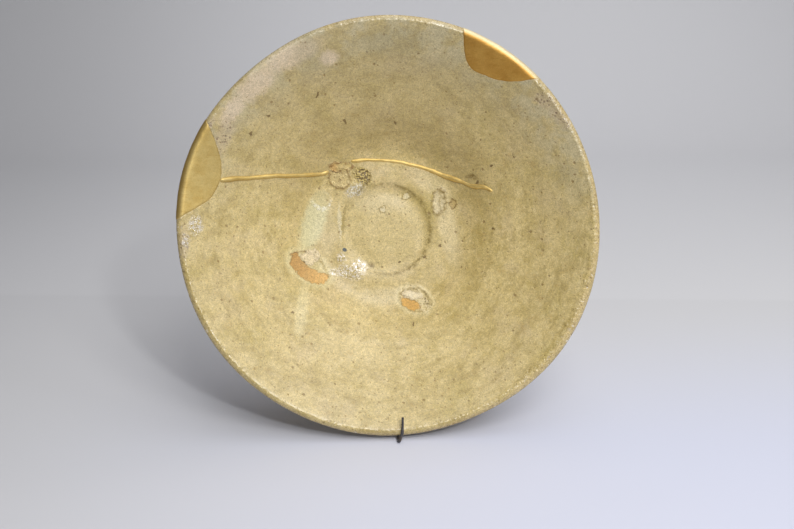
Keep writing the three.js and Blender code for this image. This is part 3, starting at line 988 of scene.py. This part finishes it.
def upper_scar(nodes, field, colour):
    """A buff pad print with a rusty rim, a pitted patch beside it, and grey crumbs of the pad."""
    crumbs = crumbled(nodes, field)
    print_at = ((-19.4, 20.9), (9.0, 8.4), -10)
    share = patch(nodes, field, *print_at, 0.1)
    colour = nodes.mix(nodes.times(share, 0.85), colour, tone(206, 182, 122))
    colour = nodes.mix(nodes.times(share, crumbs, 0.6), colour, tone(224, 204, 146))
    rim = outline(nodes, field, *print_at, 0.09)
    colour = nodes.mix(nodes.times(rim, 0.85), colour, tone(138, 108, 50))
    rust_at = ((-18.8, 25.4), (9.6, 3.8), 2)
    rusty = patch(nodes, field, *rust_at, 0.1)
    warm = nodes.mix(nodes.ramp(field["across"], -22, -19), tone(196, 156, 88), tone(196, 172, 108))
    colour = nodes.mix(nodes.times(rusty, 0.8), colour, warm)
    rust_rim = outline(nodes, field, *rust_at, 0.18)
    colour = nodes.mix(nodes.times(rust_rim, 0.85), colour, tone(134, 98, 40))
    height = nodes.add(nodes.times(share, crumbs, 0.15), nodes.times(rust_rim, 0.2),
                       nodes.times(rim, 0.2))

    pitted = patch(nodes, field, (-9.6, 21.8), (8.0, 7.0), -50, 0.25)
    colour = nodes.mix(nodes.times(pitted, 0.7), colour, tone(200, 176, 100))
    sponge = nodes.ramp(nodes.noise(field["place"], 0.75, 1, 0.5), 0.47, 0.56)
    pits = nodes.times(pitted, sponge)
    colour = nodes.mix(nodes.times(pits, 0.85), colour, tone(88, 66, 28))
    grey = patch(nodes, field, (-12.9, 15.6), (8.4, 4.6), 24, 0.35)
    colour = nodes.mix(nodes.times(grey, 0.55), colour, tone(182, 168, 132))
    colour = nodes.mix(nodes.times(grey, sponge, 0.75), colour, tone(220, 214, 196))
    bow = patch(nodes, field, (-9.3, 17.3), (11, 1.1), 45, 0.35)
    colour = nodes.mix(nodes.times(bow, 0.65), colour, tone(142, 122, 66))
    return colour, 0.0, nodes.add(height, nodes.times(pits, -0.3), nodes.times(grey, sponge, 0.2))


def outlined_scars(nodes, field, colour):
    """A scar that is little more than its outline, and a pit beside it."""
    scar_at = ((22.8, 10.4), (10.2, 5.6), 82)
    inside = patch(nodes, field, *scar_at, 0.15)
    colour = nodes.mix(nodes.times(inside, 0.6), colour, tone(208, 192, 150))
    ring = outline(nodes, field, *scar_at, 0.15)
    colour = nodes.mix(nodes.times(ring, 0.9), colour, tone(138, 116, 58))
    inner = nodes.band(spot(nodes, field["rag"], (24.4, 9.4), (3.0, 5.4), 8), 1.0, 0.2, 0.14)
    olive = nodes.most(inner, patch(nodes, field, (23.9, 14.4), (3.6, 2.2), -20, 0.35))
    colour = nodes.mix(nodes.times(olive, 0.6), colour, tone(150, 128, 68))
    hollow = spot(nodes, field["rag"], (28.8, 9.3), (3.2, 3.6))
    pit = nodes.ramp(hollow, 1.1, 0.8)
    colour = nodes.mix(nodes.times(pit, 0.7), colour, tone(176, 150, 92))
    lip = nodes.band(hollow, 1.0, 0.16, 0.14)
    colour = nodes.mix(nodes.times(lip, 0.8), colour, tone(134, 108, 54))
    return colour, 0.0, nodes.add(nodes.times(pit, -0.2), nodes.times(ring, 0.15))


def lower_scar(nodes, field, colour):
    """A pale halo, an olive rim, white slip and a chip of orange clay."""
    crumbs = crumbled(nodes, field)
    scar_at = ((11.6, -31.2), (12.8, 9.2), -22)
    halo = nodes.ramp(spot(nodes, field["rag"], *scar_at), 1.6, 1.1, 0, 0.6)
    colour = nodes.mix(halo, colour, tone(222, 206, 158))
    rim = outline(nodes, field, *scar_at, 0.07)
    colour = nodes.mix(nodes.times(rim, 0.75), colour, tone(146, 122, 60))
    orange = patch(nodes, field, (9.9, -32.7), (9.4, 4.4), -26, 0.08)
    colour = nodes.mix(orange, colour, tone(206, 162, 88))
    white = patch(nodes, field, (10.6, -29.2), (9.6, 3.6), -8, 0.08)
    colour = nodes.mix(nodes.times(white, 0.85), colour, tone(224, 208, 170))
    lining = outline(nodes, field, (10.6, -29.2), (9.6, 3.6), -8, 0.12)
    colour = nodes.mix(nodes.times(lining, 0.5), colour, tone(158, 132, 70))
    ash = patch(nodes, field, (15.6, -33.4), (4.6, 6.2), 12, 0.2)
    colour = nodes.mix(nodes.times(ash, crumbs, 0.8), colour, tone(216, 200, 160))
    pits = nodes.group(SPECKS, place=field["place"], spacing=0.8, size=0.45, share=0.8)["Mask"]
    pits = nodes.times(pits, patch(nodes, field, (16.8, -31.6), (3, 6.4), 10, 0.3))
    colour = nodes.mix(nodes.times(pits, 0.8), colour, tone(120, 96, 52))
    height = nodes.add(nodes.times(white, 0.3), nodes.times(orange, -0.3), nodes.times(pits, -0.2))
    return colour, orange, height


def left_scar(nodes, field, colour):
    """A bared crescent of orange clay round what is left of the pad."""
    reach = spot(nodes, field["rag"], (-32.6, -16.8), (18.2, 10.6), -38)
    colour = nodes.mix(nodes.ramp(reach, 1.5, 1.05, 0, 0.45), colour, tone(218, 206, 158))
    hollow = spot(nodes, field["rag"], (-29.8, -12.4), (19.5, 10.2), -36)
    crescent = nodes.times(nodes.ramp(reach, 1.04, 0.96), nodes.ramp(hollow, 0.98, 1.06))
    clay = nodes.mix(nodes.ramp(field["across"], -39, -25), tone(186, 146, 86), tone(214, 174, 108))
    colour = nodes.mix(crescent, colour, clay)
    edge = nodes.times(nodes.band(reach, 1.0, 0.03, 0.04), nodes.ramp(field["up"], -14, -10))
    colour = nodes.mix(nodes.times(edge, 0.7), colour, tone(140, 104, 52))
    cream = patches(nodes, field, [((-31.7, -12.4), (7.4, 6.4), 35), ((-35.2, -12.0), (3.6, 2.8), 0)],
                    0.1)
    colour = nodes.mix(nodes.times(cream, 0.85), colour, tone(212, 194, 154))
    colour = nodes.mix(nodes.times(cream, crumbled(nodes, field), 0.5), colour, tone(228, 210, 174))
    rim = outline(nodes, field, (-31.7, -12.2), (10, 8.2), 35)
    colour = nodes.mix(nodes.times(rim, 0.55), colour, tone(172, 148, 96))
    bare = nodes.most(crescent, nodes.times(cream, 0.5))
    height = nodes.add(nodes.times(crescent, -0.3), nodes.times(cream, 0.3))
    return colour, bare, height


def bubbles(nodes, field, colour):
    """Burst bubbles: a raised ring round a small pit."""
    rings, pools = 0.0, 0.0
    for x, y, size in ((8.8, 13.1, 3.6), (-1.1, 7.2, 3.0), (14.3, -7.1, 3.8)):
        reach = spot(nodes, field["rag"], (x, y), (size, size * 0.8), 25)
        pools = nodes.most(pools, nodes.ramp(reach, 0.95, 0.5))
        rings = nodes.most(rings, nodes.band(reach, 1.0, 0.14, 0.16))
    rings = nodes.times(rings, broken_line(nodes, field))
    colour = nodes.mix(nodes.times(pools, 0.6), colour, tone(222, 210, 172))
    colour = nodes.mix(nodes.times(rings, 0.65), colour, tone(146, 124, 66))
    return colour, 0.0, nodes.times(rings, 0.2)


def wall_marks(nodes, field, colour):
    """Marks of the wall and the lip: pinkish clay, bruised pits beside the gold, a worn edge, and
    painted glints on the lip and beside the left gold.
    """
    place, wander = field["place"], field["wander"]
    greyed = nodes.times(
        nodes.ramp(field["radius"], 60, 80), nodes.ramp(field["up"], -10, 40, 0.1, 1.0),
        nodes.ramp(nodes.noise(place, 9, 3, 0.65), 0.4, 0.6, 0.1, 0.6),
    )
    colour = nodes.mix(greyed, colour, tone(190, 181, 150))
    pink = patches(nodes, field, [
        ((-61.5, 47), (14, 6), 52), ((-52, 57), (20, 8), 42), ((-38, 68), (24, 8), 26),
        ((-23, 68), (8, 5), 10),
    ], 0.45)
    colour = nodes.mix(nodes.times(pink, 0.65), colour, tone(216, 196, 170))
    smudge = patches(nodes, field, [((-31, 69), (12, 17), 0), ((2, 74), (26, 9), 0)], 0.5)
    colour = nodes.mix(nodes.times(smudge, 0.35), colour, tone(152, 140, 100))
    bruise = patches(nodes, field, [
        ((-65.5, 36.5), (15, 6), 62), ((-70.5, 41), (8, 3), 55), ((63.5, 49.5), (9, 5), -30),
        ((69.5, 43), (12, 4.4), -48), ((-81.5, -6), (12, 4), 86),
    ], 0.5)
    pits = nodes.group(SPECKS, place=place, spacing=1.2, size=0.6, share=0.75)["Mask"]
    colour = nodes.mix(nodes.times(bruise, 0.5), colour, tone(186, 168, 140))
    pits = nodes.times(bruise, pits)
    colour = nodes.mix(nodes.times(pits, 0.65), colour, tone(124, 100, 80))
    colour, dots = iron_dots(nodes, field, colour, [
        ((-55, 38), (1.6, 1.2), 80), ((59, 6), (1.4, 1.0), 50), ((-48, 45), (1.4, 1.0), 10),
        ((-28, 54), (2.4, 0.9), 60), ((52, 28), (1.5, 1.2), 0),
    ])
    rim = nodes.add(field["radius"], nodes.times(wander, 1.6))
    on_lip = nodes.ramp(rim, 82.6, 84.0)
    lip_dots = nodes.group(SPECKS, place=place, spacing=1.3, size=0.6, share=0.5)["Mask"]
    colour = nodes.mix(nodes.times(on_lip, 0.45), colour, tone(200, 176, 124))
    worn = nodes.times(on_lip, lip_dots, nodes.ramp(field["across"], -50, 50, 0.15, 0.6))
    colour = nodes.mix(worn, colour, tone(128, 98, 62))
    # White flecks along the lip: partly white specks in the glaze, partly painted glints where the
    # lip's highlight breaks up.
    lip_flecks_and_glints = nodes.group(SPECKS, place=field["rag"], spacing=2.2, size=0.8, share=0.4)["Mask"]
    colour = nodes.mix(nodes.times(on_lip, lip_flecks_and_glints, 0.8), colour, tone(226, 216, 196))
    # Painted glints beside the left gold: the glaze there is glossy and broken, and its crumbs are
    # painted near white.
    gloss_and_painted_glint = patches(nodes, field, [((-77, 1.0), (5, 8), 0), ((-80.5, -5), (3, 5), 0)], 0.35)
    colour = nodes.mix(nodes.times(gloss_and_painted_glint, crumbled(nodes, field), 0.5), colour,
                       tone(226, 224, 226))
    broken = nodes.most(gloss_and_painted_glint, nodes.times(nodes.ramp(field["radius"], 80.5, 82), 0.55))
    rolls = nodes.times(nodes.ramp(field["radius"], 81, 82.5), nodes.noise(place, 2.2, 1))
    height = nodes.add(
        nodes.times(pits, -0.15), nodes.times(dots, -0.12), nodes.times(rolls, 0.3)
    )
    return colour, height, 0.0, broken


def outside_glaze():
    """A thinner glaze outside, that ends in a wavering line above the bare clay of the foot."""
    material, nodes, shader = new_material("ash_glaze_outside")
    at = nodes.group(BOWL_AT)
    place = at["Place"]
    cloud = nodes.noise(place, 8, 3, 0.6)
    grain = nodes.noise(place, 1.15, 3, 0.75)
    curd = nodes.noise(place, 2.4, 2, 0.6)
    fine = nodes.group(SPECKS, place=place, spacing=2.3, size=0.42, share=0.5)["Mask"]
    middling = nodes.group(SPECKS, place=place, spacing=5.5, size=0.8, share=0.45)["Mask"]
    glazed = nodes.mix(nodes.ramp(cloud, 0.3, 0.7), tone(180, 158, 104), tone(200, 178, 124))
    glazed = nodes.mix(nodes.ramp(curd, 0.5, 0.7, 0, 0.5), glazed, tone(160, 138, 82))
    glazed = nodes.mix(nodes.times(fine, 0.6), glazed, tone(128, 102, 54))
    glazed = nodes.mix(nodes.times(middling, 0.6), glazed, tone(112, 88, 42))
    clay = nodes.mix(nodes.ramp(grain, 0.35, 0.65), tone(178, 128, 82), tone(196, 150, 104))
    clay = nodes.mix(nodes.times(middling, 0.5), clay, tone(120, 84, 52))
    end = nodes.add(
        at["Radius"], nodes.times(cloud, 4.0), nodes.times(nodes.noise(place, 3.2, 3, 0.6), 2.0)
    )
    unglazed = nodes.ramp(end, 41.8, 41.2)
    roll = nodes.band(end, 42.8, 1.2, 0.8)
    glazed = nodes.mix(nodes.times(roll, 0.6), glazed, tone(150, 128, 72))
    colour = nodes.mix(unglazed, glazed, clay)
    shaded = nodes.shade(colour, nodes.ramp(grain, 0.28, 0.72, 0.84, 1.12))
    nodes.tree.links.new(shaded, shader.inputs["Base Color"])
    rough = nodes.add(0.2, nodes.times(grain, 0.12), nodes.times(unglazed, 0.5))
    nodes.tree.links.new(rough, shader.inputs["Roughness"])
    height = nodes.add(
        nodes.times(nodes.noise(place, 1.2, 2, 0.6), 0.05),
        nodes.times(nodes.noise(place, 3.6, 2), 0.1), nodes.times(middling, -0.12),
        nodes.times(roll, 0.35), nodes.times(unglazed, nodes.noise(place, 0.5, 2), 0.12),
    )
    bump(nodes, shader, height)
    return material


def gold_material(name, plain, light, deep, lip):
    """Gold powder over lacquer, burnished by hand, with the brush still to be seen in it."""
    material, nodes, shader = new_material(name)
    at = nodes.group(BOWL_AT)
    place = at["Place"]
    cloud = nodes.noise(place, 6, 3, 0.6)
    powder = nodes.noise(place, 0.45, 2, 0.7)
    stretched = nodes.put("Mapping", {"Vector": place, "Scale": (0.25, 1.6, 1)}).outputs[0]
    strokes = nodes.noise(stretched, 1.4, 2, 0.6)
    colour = nodes.mix(nodes.ramp(cloud, 0.3, 0.7), tone(*plain), tone(*light))
    colour = nodes.mix(nodes.ramp(strokes, 0.5, 0.75, 0, 0.4), colour, tone(*deep))
    parts = nodes.put("SeparateXYZ", {0: place}).outputs
    # Painted shade: the gold is darker towards the top left.
    shaded_side = nodes.math("SUBTRACT", parts["Y"], nodes.times(parts["X"], 0.6))
    colour = nodes.shade(colour, nodes.ramp(shaded_side, 15, 75, 1.04, 0.78))
    # Painted light on the lip: a darker lip for a dark reflection on the burnished gold, a pale cream
    # highlight on the right fill's gold.
    lip_painted_light = nodes.ramp(at["Radius"], 82.6, 84.2, 0, 0.8)
    colour = nodes.mix(lip_painted_light, colour, tone(*lip))
    colour = nodes.shade(colour, nodes.ramp(powder, 0.25, 0.75, 0.9, 1.08))
    nodes.tree.links.new(colour, shader.inputs["Base Color"])
    shader.inputs["Metallic"].default_value = 0.7
    rough = nodes.add(0.42, nodes.times(strokes, 0.12), nodes.times(powder, 0.12))
    nodes.tree.links.new(rough, shader.inputs["Roughness"])
    height = nodes.add(nodes.times(powder, 0.014), nodes.times(strokes, 0.03),
                       nodes.times(cloud, 0.12))
    bump(nodes, shader, height)
    return material


def wire_material():
    """Blackened steel wire, rubbed a little and browned in places."""
    material, nodes, shader = new_material("blackened_wire")
    where = nodes.put("TexCoord").outputs["Object"]
    place = nodes.put("VectorMath", {0: where, "Scale": 1 / MM}, operation="SCALE").outputs[0]
    patches_of_rust = nodes.noise(place, 6, 3, 0.6)
    scale = nodes.noise(place, 0.5, 2, 0.6)
    colour = nodes.mix(nodes.ramp(patches_of_rust, 0.45, 0.7), tone(84, 82, 84), tone(98, 86, 74))
    colour = nodes.shade(colour, nodes.ramp(scale, 0.3, 0.7, 0.8, 1.2))
    nodes.tree.links.new(colour, shader.inputs["Base Color"])
    shader.inputs["Metallic"].default_value = 0.6
    rough = nodes.add(0.34, nodes.times(patches_of_rust, 0.2))
    nodes.tree.links.new(rough, shader.inputs["Roughness"])
    bump(nodes, shader, nodes.times(scale, 0.03))
    return material


def dress(piece, materials, slot, *nodes):
    """Gives a finished piece its materials, sets it on the root body, and hides the nodes it stands
    in for.
    """
    for material in materials:
        piece.data.materials.append(material)
    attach(piece, "root")
    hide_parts(*nodes)


glazes = [ash_glaze("ash_glaze_wall", wall_marks), ash_glaze("ash_glaze_well", upper_well),
          outside_glaze(), ash_glaze("ash_glaze_lower_well", lower_well)]
gold = [gold_material(
    "burnished_gold", (210, 180, 106), (222, 196, 126), (196, 158, 82), (182, 150, 84)
)]
# The right fill's gold: the same gold painted darker, as painted shade, with its lip painted as a
# bright highlight.
gold_painted_shade = [gold_material(
    "gold_painted_shade", (186, 140, 62), (200, 156, 76), (168, 120, 46), (238, 226, 186)
)]
steel = [wire_material()]
dress(whole, glazes, "glaze", "bowl")
dress(fill_left, gold, "gold", "gold_fill_left")
dress(fill_right, gold_painted_shade, "gold", "gold_fill_right")
dress(seam_left, gold, "gold", "gold_seam_left")
dress(seam_right, gold, "gold", "gold_seam_right")
dress(spine, steel, "wire", "stand_spine")
dress(cross_leg, steel, "wire", "stand_cross_leg")
dress(back_rest, steel, "wire", "stand_back_rest")

# ---- Floor, light and camera --------------------------------------------------------------


def paper_sweep():
    """A sheet of pale paper: it lies on the table and rises in a wide curve far behind."""
    turns = np.radians(np.linspace(-90, 0, 25))
    curve = [(-3, 0.5 + 0.3 * math.cos(a), 0.3 + 0.3 * math.sin(a)) for a in turns]
    rows = [(-3, -3, 0), *curve, (-3, 0.8, 2.5)]
    sweep = new_piece("paper_sweep", rows, edges=[(i, i + 1) for i in range(len(rows) - 1)])
    across = {"value": (6, 0, 0)}
    in_edit_mode(
        sweep,
        lambda: bpy.ops.mesh.extrude_region_move(TRANSFORM_OT_translate=across),
        lambda: bpy.ops.mesh.select_all(action="SELECT"),
        lambda: bpy.ops.mesh.normals_make_consistent(inside=False),
    )
    smooth_shade(sweep)
    material, nodes, shader = new_material("pale_paper")
    where = nodes.put("TexCoord").outputs["Object"]
    parts = nodes.put("SeparateXYZ", {0: where}).outputs
    cool = nodes.times(nodes.ramp(parts["Y"], 0.12, -0.08), nodes.ramp(parts["X"], -0.2, 0.06))
    colour = nodes.mix(cool, tone(200, 200, 202), tone(198, 201, 216))
    colour = nodes.mix(nodes.ramp(parts["Y"], -0.14, -0.45), colour, tone(150, 150, 152))
    # Painted light on the paper: a painted pool of light, brighter round a spot low behind the bowl,
    # painted shade towards the left, and a faint painted shade in front of the fold.
    reach = nodes.put("VectorMath", {0: where, 1: (0.1, 0.8, 0.12)}, operation="SUBTRACT")
    level = nodes.put("VectorMath", {0: reach.outputs[0], 1: (1, 0, 1)}, operation="MULTIPLY")
    away = nodes.put("VectorMath", {0: level.outputs[0]}, operation="LENGTH").outputs["Value"]
    left = nodes.ramp(parts["X"], -0.32, 0.0, 0.86, 1.0)
    fold_shade = nodes.add(parts["Y"], nodes.times(parts["X"], 0.07))
    colour = nodes.shade(colour, nodes.times(
        nodes.ramp(away, 0.1, 0.85, 1.1, 0.74), left, nodes.ramp(fold_shade, 0.131, 0.138, 0.965, 1.0)
    ))
    nodes.tree.links.new(colour, shader.inputs["Base Color"])
    shader.inputs["Roughness"].default_value = 0.8
    sweep.data.materials.append(material)


def area_light(name, place, aim, size, power, colour):
    """A rectangular light at a place, turned to what it lights."""
    data = bpy.data.lights.new(name, "AREA")
    data.shape = "RECTANGLE"
    data.size, data.size_y = size
    data.energy = power
    data.color = colour
    light = bpy.data.objects.new(name, data)
    light.location = place
    light.rotation_euler = (Vector(aim) - Vector(place)).to_track_quat("-Z", "Y").to_euler()
    bpy.context.scene.collection.objects.link(light)


paper_sweep()
middle = (0, -0.02, 0.08)
area_light("key", (0.216, -0.643, 0.764), middle, (0.45, 0.45), 5.2, (1, 0.985, 0.96))
area_light("lamp", (0.26, -0.837, 0.595), middle, (0.07, 0.07), 2.6, (1, 1, 1))
area_light("window", (1.03, -0.61, 0.25), middle, (0.07, 0.07), 0.9, (0.88, 0.93, 1))
area_light("ceiling", (0.5, 0.1, 1.6), (0.2, 0.1, 0), (1.6, 1.6), 15, (0.97, 0.97, 1))
world = bpy.data.worlds.new("pale_room")
world.use_nodes = True
bpy.context.scene.world = world
background = world.node_tree.nodes["Background"]
background.inputs["Color"].default_value = (0.86, 0.88, 0.94, 1)
background.inputs["Strength"].default_value = 0.15
bpy.context.scene.view_settings.view_transform = "Standard"

# Place from the middle of the bowl's foot in metres, tilt down and turn to the right in degrees.
CAMERA_FROM_BOWL = (-0.01712, -0.46685, 0.12829)
CAMERA_DOWN = 17.3
CAMERA_RIGHT = 2.75

lens = bpy.data.cameras.new("camera")
lens.lens = 50
lens.sensor_width = 36
camera = bpy.data.objects.new("camera", lens)
camera.location = BOWL_PLACE.translation + Vector(CAMERA_FROM_BOWL)
camera.rotation_euler = (math.radians(90 - CAMERA_DOWN), 0, math.radians(-CAMERA_RIGHT))
bpy.context.scene.collection.objects.link(camera)
bpy.context.scene.camera = camera
